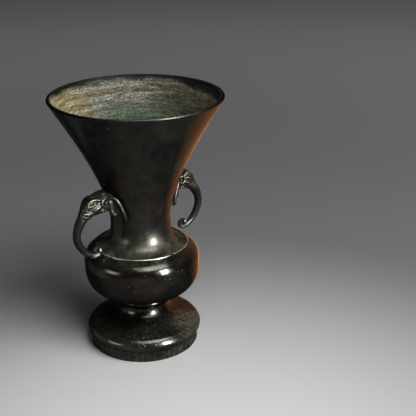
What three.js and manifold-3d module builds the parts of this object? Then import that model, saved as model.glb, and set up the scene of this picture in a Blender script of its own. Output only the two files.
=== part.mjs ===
// Bronze altar vase: a trumpet mouth over a squat belly on a spreading foot, with two elephant-head handles.
// Millimetres, +Z up. The origin is the centre of the ring that the foot stands on, and +X runs through the
// right handle. The body is cast in sections that plug into one another and are brazed from inside. Each
// handle is one casting, whose tenon passes through the neck and is peened over a rove.

import * as THREE from "three";
import { mergeVertices } from "three/addons/utils/BufferGeometryUtils.js";
import Module from "manifold-3d";

const wasm = await Module();
wasm.setup();

// Fits and walls
const FIT_GAP = 0.3;
const NECK_WALL = 3;
const BELLY_WALL = 3.2;
const FOOT_WALL = 3.6;
const EDGE_BREAK = 0.5;

// Foot, from the floor up
const SKIRT_DIAMETER = 104.6;
const SKIRT_HEIGHT = 11.3;
const FLANGE_OVERHANG = 3.2;
const FLANGE_RISE = 5.3;
const FLANGE_ROLL_DEPTH = 5.5;
const FLANGE_ROLL_HALF_HEIGHT = 7;
const FLANGE_TOP_SLOPE = 12.4;
const WAIST_DIAMETER = 45;
const WAIST_BELOW_COLLAR = 3.4;
const COLLAR_DIAMETER = 54;
const COLLAR_HEIGHT = 4.8;
const COLLAR_ROLL_DEPTH = 3.4;
const COLLAR_ROLL_END_ANGLE = 75;
const FOOT_HEIGHT = 49.2;

// Base plate, held up inside the skirt
const BASE_PLATE_THICKNESS = 2.5;
const BASE_PLATE_RECESS = 6.2;
const BASE_PLATE_LEDGE = 2.2;

// Belly, all but as wide as the foot's flange
const BELLY_SEAT_DIAMETER = 52;
const BELLY_SPIGOT_DIAMETER = 42;
const BELLY_SPIGOT_LENGTH = 4.6;
const BELLY_SPIGOT_WALL = 4.6;
const BELLY_INSIDE_FLANGE = 0.1;
const BELLY_WIDEST_HEIGHT = 35.6;
const BELLY_HEIGHT = 53.2;
const BELLY_UNDERSIDE_SLOPE = 20;
const BELLY_TOP_SLOPE = 34.7;

// Raised ridge at the belly's mouth, and the ledge inside it that the neck stands on
const RIDGE_DIAMETER = 88.6;
const RIDGE_WIDTH = 1.6;
const RIDGE_PROUD = 1.1;
const LEDGE_WIDTH = 3.3;
const LEDGE_THICKNESS = 3;
const SHOULDER_EDGE = 2.6;

// Neck: shoulder, throat and trumpet
const SHOULDER_PROUD = 0.2;
const SHOULDER_SLOPE = 14.8;
const SHOULDER_HEIGHT = 23.9;
const NECK_SPIGOT_REACH = 2.4;
const THROAT_DIAMETER = 57.2;
const TRUMPET_HEIGHT = 121.4;
const MOUTH_DIAMETER = 161.6;
const LIP_FLARE_ANGLE = 31.6;
const LIP_ROUND = 1.2;

// How far each curve keeps its direction at its two ends, as shares of the distance between them
const FOOT_SPREAD_PULLS = [0.539, 0.329];
const BELLY_LOWER_PULLS = [0.504, 0.522];
const BELLY_UPPER_PULLS = [0.569, 0.384];
const SHOULDER_PULLS = [0.486, 0.435];
const TRUMPET_PULLS = [0.276, 0.271];

// Fineness of the facets
const TURNED_SEGMENTS = 36;
const FLANGE_STEPS = 6;
const SPREAD_STEPS = 8;
const COLLAR_STEPS = 6;
const BELLY_LOWER_STEPS = 8;
const BELLY_UPPER_STEPS = 6;
const RIDGE_STEPS = 5;
const SHOULDER_STEPS = 7;
const TRUMPET_STEPS = 11;
const LIP_STEPS = 3;
const TENON_SIDES = 24;
const TUSK_SIDES = 10;
const EYE_FACETS = [10, 6];
const BROW_FACETS = [6, 14];
const TRUNK_SIDES = 14;
const SECTIONS_PER_STRETCH = 9;
const TIP_STEPS = 2;
const EAR_STATIONS = 9;

// Brazed fillets in the inner corners of the joints
const FILLET_LEG = 2;

// Handle: elephant head, with a trunk that hangs in a bow and curls up at its tip
const HEAD_ABOVE_RIDGE = 52;
const HEAD_LENGTH = 18;
const HEAD_WIDTH = 16.8;
const HEAD_ROOT_DEPTH = 4;
const HEAD_DIP = 2.2;
const TRUNK_STANDOFF = 38.4;
const TRUNK_WIDEST_DROP = 27;
const TRUNK_DROP = 50;
const TRUNK_FULLNESS_SHARE = 0.45;
const CURL_STANDOFF = 18.4;
const CURL_WIDTH = 9.6;
const CURL_HEIGHT = 7.6;
const CURL_SWEEP_ANGLE = 235;
const CURL_TIGHTENING_SHARE = 0.42;

// Sections of the head and trunk, as shares of the head's width. Place counts stretches of the spine:
// head, upper trunk, lower trunk, curl.
const TRUNK_SECTIONS = [
  { place: 0, half: 0.429, back: 0.595, belly: 0.452 },
  { place: 0.5, half: 0.5, back: 0.69, belly: 0.476 },
  { place: 1, half: 0.429, back: 0.631, belly: 0.452 },
  { place: 1.3, half: 0.333, back: 0.381, belly: 0.405 },
  { place: 1.5, half: 0.286, back: 0.262, belly: 0.31 },
  { place: 2, half: 0.22, back: 0.22, belly: 0.22 },
  { place: 3, half: 0.173, back: 0.173, belly: 0.173 },
  { place: 4, half: 0.113, back: 0.113, belly: 0.113 },
];

// Ears: leaves that lie along the neck from the head to a pointed lower tip, with a rolled outer rim
const EAR_TOP = 8.6;
const EAR_LOBE_DROP = 12.5;
const EAR_DROP = 18.6;
const EAR_ROOT = 4;
const EAR_REACH = 17;
const EAR_TIP_REACH = 15.4;
const EAR_THICKNESS = 2.8;
const EAR_DISH = 3.4;
const EAR_RIM = 2;
const EAR_DISH_START_SHARE = 0.3;
const EAR_DISH_END_SHARE = 0.66;
const EAR_RIM_CREST_SHARE = 0.84;
const EAR_RIM_BACK_SHARE = 0.96;

// Eyes under their brows, and tusks along the root of the trunk, placed from the wall and the head's level
const EYE_LENGTH = 7;
const EYE_HEIGHT = 4.6;
const EYE_STANDOFF = 21.8;
const EYE_RISE = 2.2;
const EYE_SPREAD = 4.6;
const EYE_BULGE = 2.4;
const BROW_WIDTH = 1.8;
const BROW_RISE = 0.8;
const FACE_DIP_ANGLE = 38;
const TUSK_LENGTH = 11;
const TUSK_DIAMETER = 3.4;
const TUSK_TIP_DIAMETER = 1.2;
const TUSK_STANDOFF = 20;
const TUSK_DROP = 6.4;
const TUSK_SPREAD = 5.6;
const TUSK_RISE_ANGLE = 3;
const TUSK_TOE_IN_ANGLE = 7;

// Tenon through the neck, its rove and its peened head
const TENON_DIAMETER = 8;
const TENON_ROOT = 3;
const ROVE_DIAMETER = 15;
const ROVE_THICKNESS = 1.6;
const PEEN_DIAMETER = 11.6;
const PEEN_THICKNESS = 1.8;
const FASTENING_REACH = 16;

const radians = THREE.MathUtils.degToRad;
const point = (radius, height) => new THREE.Vector2(radius, height);

// Levels and radii that neighbouring pieces share
const skirtRadius = SKIRT_DIAMETER / 2;
const flangeRadius = skirtRadius + FLANGE_OVERHANG;
const bellyRadius = flangeRadius - BELLY_INSIDE_FLANGE;
const waistRadius = WAIST_DIAMETER / 2;
const boreRadius = waistRadius - FOOT_WALL;
const socketLevel = FOOT_HEIGHT - BELLY_SPIGOT_LENGTH;
const rebateRadius = skirtRadius - FOOT_WALL;
const rebateLevel = BASE_PLATE_RECESS + BASE_PLATE_THICKNESS + FIT_GAP;
const bellySeat = FOOT_HEIGHT + FIT_GAP;
const bellySpigotRadius = BELLY_SPIGOT_DIAMETER / 2;
const ridgeLevel = bellySeat + BELLY_HEIGHT;
const ridgeInner = (RIDGE_DIAMETER - RIDGE_WIDTH) / 2;
const ledgeLevel = ridgeLevel - SHOULDER_EDGE;
const ledgeInner = ridgeInner - LEDGE_WIDTH;
const ledgeUnderside = ledgeLevel - LEDGE_THICKNESS;
const neckSpigotRadius = ledgeInner - FIT_GAP;
const throatLevel = ridgeLevel + SHOULDER_HEIGHT;
const lipLevel = throatLevel + TRUMPET_HEIGHT;
const headLevel = ridgeLevel + HEAD_ABOVE_RIDGE;

// Curve that leaves one point and reaches another along given directions, in degrees from the horizontal
function sweep(from, leaveAngle, to, arriveAngle, pulls, steps) {
  const reach = from.distanceTo(to);
  const leave = point(Math.cos(radians(leaveAngle)), Math.sin(radians(leaveAngle)));
  const arrive = point(Math.cos(radians(arriveAngle)), Math.sin(radians(arriveAngle)));
  const leaving = from.clone().addScaledVector(leave, pulls[0] * reach);
  const arriving = to.clone().addScaledVector(arrive, -pulls[1] * reach);
  return new THREE.CubicBezierCurve(from, leaving, arriving, to).getPoints(steps);
}

function ellipseArc(centre, halfWidth, halfHeight, startAngle, endAngle, steps) {
  const arc = new THREE.EllipseCurve(
    centre.x, centre.y, halfWidth, halfHeight, radians(startAngle), radians(endAngle));
  return arc.getPoints(steps);
}

// Line moved sideways by a distance, to the left of its own direction of travel
function offset(line, distance) {
  return line.map((here, index) => {
    const before = line[Math.max(index - 1, 0)];
    const after = line[Math.min(index + 1, line.length - 1)];
    const along = after.clone().sub(before).normalize();
    return point(here.x - along.y * distance, here.y + along.x * distance);
  });
}

// Rest of a line from the place where it first crosses a radius (axis "x") or a height (axis "y")
function startAt(line, axis, value) {
  const next = line.findIndex((here, index) => {
    return index > 0 && (line[index - 1][axis] - value) * (here[axis] - value) <= 0;
  });
  const share = (value - line[next - 1][axis]) / (line[next][axis] - line[next - 1][axis]);
  return [line[next - 1].clone().lerp(line[next], share), ...line.slice(next)];
}

function endAt(line, axis, value) {
  return startAt([...line].reverse(), axis, value).reverse();
}

function radiusAt(line, height) {
  return startAt(line, "y", height)[0].x;
}

function everyOther(line) {
  return line.filter((_, index) => index % 2 === 0 || index === line.length - 1);
}

// Body of revolution about the Z axis from a profile that runs up its outside and down its inside
function turned(profile) {
  const geometry = new THREE.LatheGeometry(profile, TURNED_SEGMENTS);
  geometry.rotateX(Math.PI / 2);
  return geometry;
}

function turnedRing(profile) {
  return turned([...profile, profile[0].clone()]);
}

function solid(geometry) {
  const bare = geometry.clone();
  bare.deleteAttribute("normal");
  bare.deleteAttribute("uv");
  const welded = mergeVertices(bare);
  const vertProperties = new Float32Array(welded.attributes.position.array);
  const triVerts = new Uint32Array(welded.index.array);
  return new wasm.Manifold(new wasm.Mesh({ numProp: 3, vertProperties, triVerts }));
}

function geometryOf(body) {
  const mesh = body.getMesh();
  const geometry = new THREE.BufferGeometry();
  geometry.setAttribute("position", new THREE.BufferAttribute(mesh.vertProperties, 3));
  geometry.setIndex(new THREE.BufferAttribute(mesh.triVerts, 1));
  geometry.computeVertexNormals();
  return geometry;
}

// Skin stretched over a row of rings with equally many points, closed by a fan at each end
function loft(rings) {
  const sides = rings[0].length;
  const vertices = rings.flat();
  const faces = [];
  for (let ring = 0; ring < rings.length - 1; ring += 1) {
    for (let side = 0; side < sides; side += 1) {
      const next = (side + 1) % sides;
      const here = ring * sides;
      const there = here + sides;
      faces.push(here + side, here + next, there + next);
      faces.push(here + side, there + next, there + side);
    }
  }
  const lastRing = (rings.length - 1) * sides;
  for (const [first, ring, turn] of [[0, rings[0], -1], [lastRing, rings[rings.length - 1], 1]]) {
    const middle = new THREE.Vector3();
    ring.forEach((corner) => middle.addScaledVector(corner, 1 / sides));
    const hub = vertices.push(middle) - 1;
    for (let side = 0; side < sides; side += 1) {
      const next = (side + turn + sides) % sides;
      faces.push(hub, first + side, first + next);
    }
  }
  const geometry = new THREE.BufferGeometry().setFromPoints(vertices);
  geometry.setIndex(faces);
  return geometry;
}

// Outside of the neck from the shoulder's edge to the lip
const shoulderEdge = point(ridgeInner - FIT_GAP, ridgeLevel + SHOULDER_PROUD);
const throat = point(THROAT_DIAMETER / 2, throatLevel);
const lipCentre = point(MOUTH_DIAMETER / 2 - LIP_ROUND, lipLevel - LIP_ROUND);
const lipCurve = ellipseArc(lipCentre, LIP_ROUND, LIP_ROUND, -LIP_FLARE_ANGLE, 90, LIP_STEPS);
const shoulderCurve = sweep(shoulderEdge, 180 - SHOULDER_SLOPE, throat, 90, SHOULDER_PULLS, SHOULDER_STEPS);
const trumpetCurve = sweep(throat, 90, lipCurve[0], 90 - LIP_FLARE_ANGLE, TRUMPET_PULLS, TRUMPET_STEPS);
const neckCurve = [...shoulderCurve, ...trumpetCurve.slice(1)];
const neckAtHead = radiusAt(neckCurve, headLevel);

// Shell that follows the neck between two depths under its outside
function neckBand(outerDepth, innerDepth) {
  return solid(turnedRing([...offset(neckCurve, outerDepth), ...offset(neckCurve, innerDepth).reverse()]));
}

// Round bar along X through the neck wall at the height of the head, on the right side
function fasteningRod(diameter) {
  const rod = new THREE.CylinderGeometry(diameter / 2, diameter / 2, 2 * FASTENING_REACH, TENON_SIDES);
  rod.rotateZ(-Math.PI / 2);
  rod.translate(neckAtHead, 0, headLevel);
  return solid(rod);
}

function trumpetNeck() {
  const spigotInner = neckSpigotRadius - NECK_WALL;
  const inside = everyOther(offset(neckCurve, NECK_WALL));
  const wall = endAt(startAt(inside, "x", spigotInner), "y", lipLevel - EDGE_BREAK).reverse();
  const spigotEnd = ledgeUnderside - NECK_SPIGOT_REACH;
  const casting = solid(turnedRing([
    point(spigotInner, spigotEnd),
    point(neckSpigotRadius, spigotEnd),
    point(neckSpigotRadius, ledgeLevel + FIT_GAP),
    point(shoulderEdge.x, ledgeLevel + FIT_GAP),
    ...neckCurve,
    ...lipCurve.slice(1),
    point(wall[0].x + EDGE_BREAK, lipLevel),
    ...wall,
  ]));
  const mortise = fasteningRod(TENON_DIAMETER + 2 * FIT_GAP);
  return geometryOf(casting.subtract(mortise).subtract(mortise.rotate([0, 0, 180])));
}

function bellyBowl() {
  const spigotEnd = socketLevel + FIT_GAP;
  const spigotInner = bellySpigotRadius - BELLY_SPIGOT_WALL;
  const seat = point(BELLY_SEAT_DIAMETER / 2, bellySeat);
  const widest = point(bellyRadius, bellySeat + BELLY_WIDEST_HEIGHT);
  const ridgeMiddle = point(RIDGE_DIAMETER / 2, ridgeLevel);
  const ridge = ellipseArc(ridgeMiddle, RIDGE_WIDTH / 2, RIDGE_PROUD, 0, 180, RIDGE_STEPS);
  const lowerCurve = sweep(seat, BELLY_UNDERSIDE_SLOPE, widest, 90, BELLY_LOWER_PULLS, BELLY_LOWER_STEPS);
  const topAngle = 180 - BELLY_TOP_SLOPE;
  const upperCurve = sweep(widest, 90, ridge[0], topAngle, BELLY_UPPER_PULLS, BELLY_UPPER_STEPS);
  const outside = [...lowerCurve, ...upperCurve.slice(1)];
  const inside = endAt(everyOther(offset(outside, BELLY_WALL)), "y", ledgeUnderside);
  const floorEdge = inside[0];
  const floorDrop = (floorEdge.x - spigotInner) * Math.tan(radians(BELLY_UNDERSIDE_SLOPE));
  return turnedRing([
    point(spigotInner, spigotEnd),
    point(bellySpigotRadius, spigotEnd),
    point(bellySpigotRadius, bellySeat),
    ...outside,
    ...ridge.slice(1),
    point(ridgeInner, ledgeLevel),
    point(ledgeInner, ledgeLevel),
    point(ledgeInner, ledgeUnderside),
    ...inside.reverse(),
    point(spigotInner, floorEdge.y - floorDrop),
  ]);
}

function pedestalFoot() {
  const rollCentre = point(flangeRadius - FLANGE_ROLL_DEPTH, SKIRT_HEIGHT + FLANGE_RISE);
  const rollStart = THREE.MathUtils.radToDeg(Math.asin(-FLANGE_RISE / FLANGE_ROLL_HALF_HEIGHT));
  const topSlope = Math.tan(radians(FLANGE_TOP_SLOPE));
  const rollEnd = THREE.MathUtils.radToDeg(
    Math.atan(FLANGE_ROLL_HALF_HEIGHT / (FLANGE_ROLL_DEPTH * topSlope)));
  const roll = ellipseArc(
    rollCentre, FLANGE_ROLL_DEPTH, FLANGE_ROLL_HALF_HEIGHT, rollStart, rollEnd, FLANGE_STEPS);
  const collarBottom = FOOT_HEIGHT - COLLAR_HEIGHT;
  const waist = point(waistRadius, collarBottom - WAIST_BELOW_COLLAR);
  const rollTop = roll[roll.length - 1];
  const spread = sweep(rollTop, 180 - FLANGE_TOP_SLOPE, waist, 90, FOOT_SPREAD_PULLS, SPREAD_STEPS);
  const collarCentre = point(COLLAR_DIAMETER / 2 - COLLAR_ROLL_DEPTH, FOOT_HEIGHT - COLLAR_HEIGHT / 2);
  const collar = ellipseArc(
    collarCentre, COLLAR_ROLL_DEPTH, COLLAR_HEIGHT / 2, -90, COLLAR_ROLL_END_ANGLE, COLLAR_STEPS);
  const ledgeRadius = rebateRadius - BASE_PLATE_LEDGE;
  const inside = startAt(everyOther(offset(spread, FOOT_WALL)), "x", ledgeRadius);
  return turnedRing([
    point(rebateRadius, 0),
    point(skirtRadius - EDGE_BREAK, 0),
    point(skirtRadius, EDGE_BREAK),
    point(skirtRadius, SKIRT_HEIGHT),
    ...roll,
    ...spread.slice(1),
    ...collar,
    point(collar[collar.length - 1].x, FOOT_HEIGHT),
    point(bellySpigotRadius + FIT_GAP, FOOT_HEIGHT),
    point(bellySpigotRadius + FIT_GAP, socketLevel),
    point(boreRadius, socketLevel),
    ...inside.reverse(),
    point(ledgeRadius, rebateLevel),
    point(rebateRadius, rebateLevel),
  ]);
}

function basePlate() {
  const radius = rebateRadius - FIT_GAP;
  const top = BASE_PLATE_RECESS + BASE_PLATE_THICKNESS;
  return turned([
    point(0, BASE_PLATE_RECESS),
    point(radius - EDGE_BREAK, BASE_PLATE_RECESS),
    point(radius, BASE_PLATE_RECESS + EDGE_BREAK),
    point(radius, top),
    point(0, top),
  ]);
}

// Triangular ring of braze: two legs from the corner, outward or inward and always down
function brazeFillet(cornerRadius, cornerLevel, legOut) {
  const corner = point(cornerRadius, cornerLevel);
  const side = point(cornerRadius + legOut, cornerLevel);
  const foot = point(cornerRadius, cornerLevel - FILLET_LEG);
  return turnedRing(legOut > 0 ? [foot, side, corner] : [foot, corner, side]);
}

// Curl at the end of the trunk: an oval spiral that starts at its lowest point and turns in towards the neck
class TrunkCurl extends THREE.Curve {
  constructor(lowest) {
    super();
    this.centre = point(lowest.x, lowest.y + CURL_HEIGHT / 2);
  }

  getPoint(share, target = new THREE.Vector2()) {
    const angle = radians(-90 - CURL_SWEEP_ANGLE * share);
    const size = 1 - CURL_TIGHTENING_SHARE * share;
    const along = (CURL_WIDTH / 2) * size * Math.cos(angle);
    const up = (CURL_HEIGHT / 2) * size * Math.sin(angle);
    return target.set(this.centre.x + along, this.centre.y + up);
  }
}

// Centreline of the head and trunk in the plane of the handle, as stretches that follow one another
function trunkSpine() {
  const root = point(neckAtHead - HEAD_ROOT_DEPTH, headLevel);
  const brow = point(neckAtHead + HEAD_LENGTH, headLevel - HEAD_DIP);
  const widest = point(neckAtHead + TRUNK_STANDOFF, headLevel - TRUNK_WIDEST_DROP);
  const lowest = point(neckAtHead + CURL_STANDOFF, headLevel - TRUNK_DROP);
  const bow = (from, corner, to) => new THREE.CubicBezierCurve(
    from, from.clone().lerp(corner, TRUNK_FULLNESS_SHARE), to.clone().lerp(corner, TRUNK_FULLNESS_SHARE), to);
  return [
    new THREE.LineCurve(root, brow),
    bow(brow, point(widest.x, brow.y), widest),
    bow(widest, point(widest.x, lowest.y), lowest),
    new TrunkCurl(lowest),
  ];
}

function trunkSizeAt(place) {
  const next = Math.max(1, TRUNK_SECTIONS.findIndex((section) => section.place >= place));
  const before = TRUNK_SECTIONS[next - 1];
  const after = TRUNK_SECTIONS[next];
  const share = THREE.MathUtils.smoothstep(place, before.place, after.place);
  const blend = (key) => HEAD_WIDTH * THREE.MathUtils.lerp(before[key], after[key], share);
  return { half: blend("half"), back: blend("back"), belly: blend("belly") };
}

// Oval ring square to the spine: back is the side on the outside of the bow, belly the other
function trunkRing(centre, along, { half, back, belly }) {
  const ring = [];
  for (let side = 0; side < TRUNK_SIDES; side += 1) {
    const angle = (2 * Math.PI * side) / TRUNK_SIDES;
    const depth = Math.sin(angle) * (Math.sin(angle) > 0 ? back : belly);
    const across = half * Math.cos(angle);
    ring.push(new THREE.Vector3(centre.x - along.y * depth, across, centre.y + along.x * depth));
  }
  return ring;
}

function headAndTrunk() {
  const stretches = trunkSpine();
  const rings = [];
  stretches.forEach((stretch, index) => {
    for (let step = index === 0 ? 0 : 1; step <= SECTIONS_PER_STRETCH; step += 1) {
      const share = step / SECTIONS_PER_STRETCH;
      rings.push(trunkRing(stretch.getPoint(share), stretch.getTangent(share), trunkSizeAt(index + share)));
    }
  });
  const curl = stretches[stretches.length - 1];
  const tip = trunkSizeAt(stretches.length);
  for (let step = 1; step <= TIP_STEPS; step += 1) {
    const angle = (Math.PI / 2) * (step / (TIP_STEPS + 1));
    const centre = curl.getPoint(1).addScaledVector(curl.getTangent(1), tip.half * Math.sin(angle));
    const radius = tip.half * Math.cos(angle);
    rings.push(trunkRing(centre, curl.getTangent(1), { half: radius, back: radius, belly: radius }));
  }
  return loft(rings);
}

// Point of an ear: distance round the neck from the handle's plane, height, and standoff from the neck
function earPoint(around, height, standoff) {
  const radius = radiusAt(neckCurve, height) + standoff;
  const angle = around / radius;
  return new THREE.Vector3(radius * Math.cos(angle), radius * Math.sin(angle), height);
}

function ear() {
  const outline = new THREE.CubicBezierCurve(
    point(EAR_ROOT, EAR_TOP), point(EAR_REACH, EAR_TOP),
    point(EAR_REACH + EAR_THICKNESS, 0), point(EAR_TIP_REACH, -EAR_DROP));
  const rings = [];
  for (let station = 1; station <= EAR_STATIONS; station += 1) {
    const rim = outline.getPoint(station / EAR_STATIONS);
    const lobe = THREE.MathUtils.clamp((-rim.y - EAR_LOBE_DROP) / (EAR_DROP - EAR_LOBE_DROP), 0, 1);
    const root = THREE.MathUtils.lerp(EAR_ROOT, EAR_TIP_REACH - EAR_RIM, lobe);
    const leaf = (share, standoff) => earPoint(
      THREE.MathUtils.lerp(root, rim.x, share), headLevel + rim.y, standoff);
    rings.push([
      leaf(0, EAR_DISH - EAR_THICKNESS / 3),
      leaf(EAR_DISH_START_SHARE, EAR_DISH),
      leaf(EAR_DISH_END_SHARE, EAR_DISH),
      leaf(EAR_RIM_CREST_SHARE, EAR_DISH + EAR_RIM),
      leaf(1, EAR_DISH + EAR_RIM / 2),
      leaf(EAR_RIM_BACK_SHARE, EAR_DISH - EAR_THICKNESS / 2),
      leaf(EAR_DISH_END_SHARE, EAR_DISH - EAR_THICKNESS),
      leaf(EAR_DISH_START_SHARE, EAR_DISH - EAR_THICKNESS),
    ]);
  }
  return solid(loft(rings.reverse()));
}

// Almond eye with a brow that arches over its upper front, both tilted along the face
function eyeAndBrow() {
  const eye = new THREE.SphereGeometry(1, ...EYE_FACETS);
  eye.scale(EYE_LENGTH / 2, EYE_BULGE, EYE_HEIGHT / 2);
  const browRadius = (EYE_LENGTH + BROW_WIDTH) / 2;
  const brow = new THREE.TorusGeometry(browRadius, BROW_WIDTH / 2, ...BROW_FACETS);
  brow.scale(1, (EYE_HEIGHT + BROW_WIDTH) / (2 * browRadius), 1);
  brow.rotateX(Math.PI / 2);
  brow.translate(0, 0, BROW_RISE);
  const pair = [eye, brow].map((shape) => {
    shape.rotateY(radians(FACE_DIP_ANGLE));
    shape.translate(neckAtHead + EYE_STANDOFF, EYE_SPREAD, headLevel + EYE_RISE);
    return solid(shape);
  });
  return pair[0].add(pair[1]);
}

function tusk() {
  const cone = new THREE.CylinderGeometry(TUSK_TIP_DIAMETER / 2, TUSK_DIAMETER / 2, TUSK_LENGTH, TUSK_SIDES);
  cone.translate(0, TUSK_LENGTH / 2, 0);
  cone.rotateZ(-Math.PI / 2);
  cone.rotateY(-radians(TUSK_RISE_ANGLE));
  cone.rotateZ(-radians(TUSK_TOE_IN_ANGLE));
  cone.translate(neckAtHead + TUSK_STANDOFF, TUSK_SPREAD, headLevel - TUSK_DROP);
  return solid(cone);
}

function tenonWithPeenedHead() {
  const roveInside = NECK_WALL + FIT_GAP + ROVE_THICKNESS;
  const peenOutside = roveInside + FIT_GAP;
  const peenInside = peenOutside + PEEN_THICKNESS;
  const shank = neckBand(-TENON_ROOT, peenInside).intersect(fasteningRod(TENON_DIAMETER));
  const peen = neckBand(peenOutside, peenInside).intersect(fasteningRod(PEEN_DIAMETER));
  return shank.add(peen);
}

function elephantHandle() {
  const side = ear().add(eyeAndBrow()).add(tusk());
  const casting = solid(headAndTrunk()).add(side).add(side.mirror([0, 1, 0]));
  const neckSpace = neckBand(-FIT_GAP, NECK_WALL + FASTENING_REACH);
  return geometryOf(casting.subtract(neckSpace).add(tenonWithPeenedHead()));
}

function tenonRove() {
  const plate = neckBand(NECK_WALL + FIT_GAP, NECK_WALL + FIT_GAP + ROVE_THICKNESS);
  const hole = fasteningRod(TENON_DIAMETER + 2 * FIT_GAP);
  return geometryOf(plate.intersect(fasteningRod(ROVE_DIAMETER)).subtract(hole));
}

function bronze(color, roughness) {
  return new THREE.MeshStandardMaterial({ color, roughness, metalness: 0.85 });
}

const vase = new THREE.Group();

function place(name, geometry, material, turn = 0) {
  const mesh = new THREE.Mesh(geometry, material);
  mesh.name = name;
  mesh.rotation.z = turn;
  vase.add(mesh);
}

place("pedestal_foot", pedestalFoot(), bronze(0x1d1b17, 0.42));
place("base_plate", basePlate(), bronze(0x2b2822, 0.6));
place("belly_bowl", bellyBowl(), bronze(0x1b1a16, 0.36));
place("trumpet_neck", trumpetNeck(), bronze(0x1f1d19, 0.4));

const handleShape = elephantHandle();
const roveShape = tenonRove();
for (const [side, turn] of [["right", 0], ["left", Math.PI]]) {
  place(`${side}_handle`, handleShape, bronze(0x24221c, 0.38), turn);
  place(`${side}_tenon_rove`, roveShape, bronze(0x3a352a, 0.55), turn);
}

const neckCorner = [neckSpigotRadius + FIT_GAP, ledgeUnderside - FIT_GAP];
const footCorner = [boreRadius - FIT_GAP, socketLevel];
const baseCorner = [rebateRadius - FIT_GAP, BASE_PLATE_RECESS - FIT_GAP];
place("neck_braze_seal", brazeFillet(...neckCorner, FILLET_LEG), bronze(0x8a7340, 0.5));
place("foot_braze_seal", brazeFillet(...footCorner, -FILLET_LEG), bronze(0x8a7340, 0.5));
place("base_braze_seal", brazeFillet(...baseCorner, -FILLET_LEG), bronze(0x8a7340, 0.5));

export default vase;
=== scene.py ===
from functools import partialmethod
from itertools import product
from math import asin, atan, cos, degrees, hypot, pi, radians, sin, tan

import bpy
import numpy as np
from mathutils import Matrix, Vector


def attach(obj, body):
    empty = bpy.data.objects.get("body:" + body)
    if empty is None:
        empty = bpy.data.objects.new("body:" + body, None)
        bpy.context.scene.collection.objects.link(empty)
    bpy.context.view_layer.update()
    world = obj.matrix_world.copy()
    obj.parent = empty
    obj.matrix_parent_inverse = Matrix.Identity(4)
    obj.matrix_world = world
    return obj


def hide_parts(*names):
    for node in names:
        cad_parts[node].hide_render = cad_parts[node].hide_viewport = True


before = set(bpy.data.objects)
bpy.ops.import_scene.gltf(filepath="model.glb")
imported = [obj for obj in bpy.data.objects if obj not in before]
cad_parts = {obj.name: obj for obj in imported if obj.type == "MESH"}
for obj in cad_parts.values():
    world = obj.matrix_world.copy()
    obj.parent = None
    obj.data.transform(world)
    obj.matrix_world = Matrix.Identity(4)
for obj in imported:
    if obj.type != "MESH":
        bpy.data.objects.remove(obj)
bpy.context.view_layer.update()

MM = 0.001
scene = bpy.context.scene

# Sizes of the vase in millimetres, as in the solids, with slopes and ends of arcs in degrees
FIT_GAP = 0.3
NECK_WALL = 3
BELLY_WALL = 3.2
FOOT_WALL = 3.6
EDGE_BREAK = 0.5
SKIRT_RADIUS = 52.3
SKIRT_HEIGHT = 11.3
FLANGE_RADIUS = 55.5
FLANGE_RISE = 5.3
ROLL_DEPTH = 5.5
ROLL_HALF_HEIGHT = 7
FLANGE_TOP_SLOPE = 12.4
WAIST_RADIUS = 22.5
WAIST_BELOW_COLLAR = 3.4
COLLAR_RADIUS = 27
COLLAR_HEIGHT = 4.8
COLLAR_ROLL_DEPTH = 3.4
COLLAR_ROLL_END = 75
FOOT_HEIGHT = 49.2
PLATE_THICKNESS = 2.5
PLATE_RECESS = 6.2
PLATE_LEDGE = 2.2
BELLY_SEAT_RADIUS = 26
SPIGOT_RADIUS = 21
SPIGOT_LENGTH = 4.6
SPIGOT_WALL = 4.6
BELLY_RADIUS = 55.4
BELLY_WIDEST_HEIGHT = 35.6
BELLY_HEIGHT = 53.2
UNDERSIDE_SLOPE = 20
BELLY_TOP_SLOPE = 34.7
RIDGE_RADIUS = 44.3
RIDGE_WIDTH = 1.6
RIDGE_PROUD = 1.1
LEDGE_WIDTH = 3.3
LEDGE_THICKNESS = 3
SHOULDER_EDGE = 2.6
SHOULDER_PROUD = 0.2
SHOULDER_SLOPE = 14.8
SHOULDER_HEIGHT = 23.9
NECK_SPIGOT_REACH = 2.4
THROAT_RADIUS = 28.6
TRUMPET_HEIGHT = 121.4
MOUTH_RADIUS = 80.8
LIP_FLARE = 31.6
LIP_ROUND = 1.2
FILLET_LEG = 2

# Pulls at both ends of the long curves, as shares of their reach
FOOT_SPREAD_PULLS = (0.539, 0.329)
BELLY_LOWER_PULLS = (0.504, 0.522)
BELLY_UPPER_PULLS = (0.569, 0.384)
SHOULDER_PULLS = (0.486, 0.435)
TRUMPET_PULLS = (0.276, 0.271)

# Finer than the solids: power of the flange's roll, the lip's inner edge in steps out and down, hollow braze
ROLL_POWER = 1.25
LIP_INNER_EDGE = ((0.65, 0), (0.1, 0.2))
FILLET_HOLLOW = 0.38

# Strokes scored on the skirt, with their widths in segments of the foot
STROKES = 320
STROKE_SEED = 7
STROKE_WIDTHS = (0.7, 1.7)
STROKE_DEPTHS = (0.1, 0.45)
DEEPEST_STROKE = 0.55
STROKE_END = 0.4
STROKE_FADE = 2.2
DIRTY_STROKE = 0.45

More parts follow.
